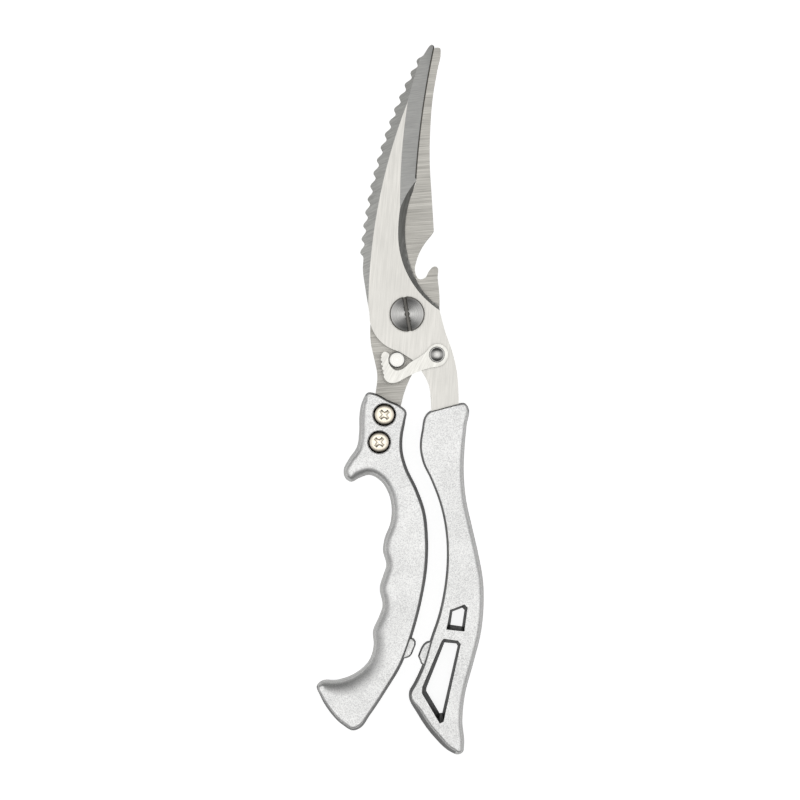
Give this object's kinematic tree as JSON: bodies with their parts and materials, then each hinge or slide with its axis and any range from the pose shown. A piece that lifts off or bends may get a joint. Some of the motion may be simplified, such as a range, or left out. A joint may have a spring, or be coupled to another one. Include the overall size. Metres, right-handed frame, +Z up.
{
  "type": "poultry shears",
  "caption": "Curved poultry shears with a toothed front blade, bone notch, bottle-opener notch, hooked latch and cast metal handles, lying flat and latched shut.",
  "frame": {"origin": "on the surface that the shears lie on, under the middle of their box seen from above; the pivot's axis stands at X 2.45 mm, Y 31.3 mm", "axes": "+X to the right handle's side, +Y towards the blade tips, +Z up out of the front face"},
  "size_m": [0.0613, 0.26, 0.013],
  "materials": {
    "front_blade_steel": "ground and finely brushed stainless steel",
    "rear_blade_steel": "cross-ground stainless steel",
    "latch_steel": "bright satin stainless steel",
    "turned_steel": "turned stainless steel",
    "spring_steel": "plain spring steel",
    "nickel_plated": "bright nickel-plated steel",
    "handle_casting": "sandblasted cast aluminium alloy"
  },
  "bodies": {
    "front_half": {"front_blade": "front_blade_steel", "right_handle": "handle_casting", "right_handle_screw_upper": "nickel_plated", "right_handle_screw_lower": "nickel_plated", "pivot_screw": "turned_steel", "pivot_nut": "turned_steel", "pivot_washer": "spring_steel", "latch_rivet": "turned_steel", "latch_washer": "spring_steel"},
    "rear_half": {"rear_blade": "rear_blade_steel", "left_handle": "handle_casting", "left_handle_screw_upper": "nickel_plated", "left_handle_screw_lower": "nickel_plated", "catch_stud": "turned_steel", "opening_spring": "spring_steel"},
    "latch_lever": {"latch": "latch_steel"}
  },
  "joints": [
    {"name": "blades_open", "type": "hinge", "parent": "front_half", "child": "rear_half", "pos_m": [0.00245, 0.0313, 0.0065], "axis": [0, 0, -1], "range_deg": [-1, 26]},
    {"name": "latch_turn", "type": "hinge", "parent": "front_half", "child": "latch_lever", "pos_m": [0.01335, 0.0165, 0.0113], "axis": [0, 0, 1], "range_deg": [-2, 52]}
  ],
  "couplings": [
    {"joint": "latch_turn", "follows": "blades_open", "ratio": 2}
  ]
}
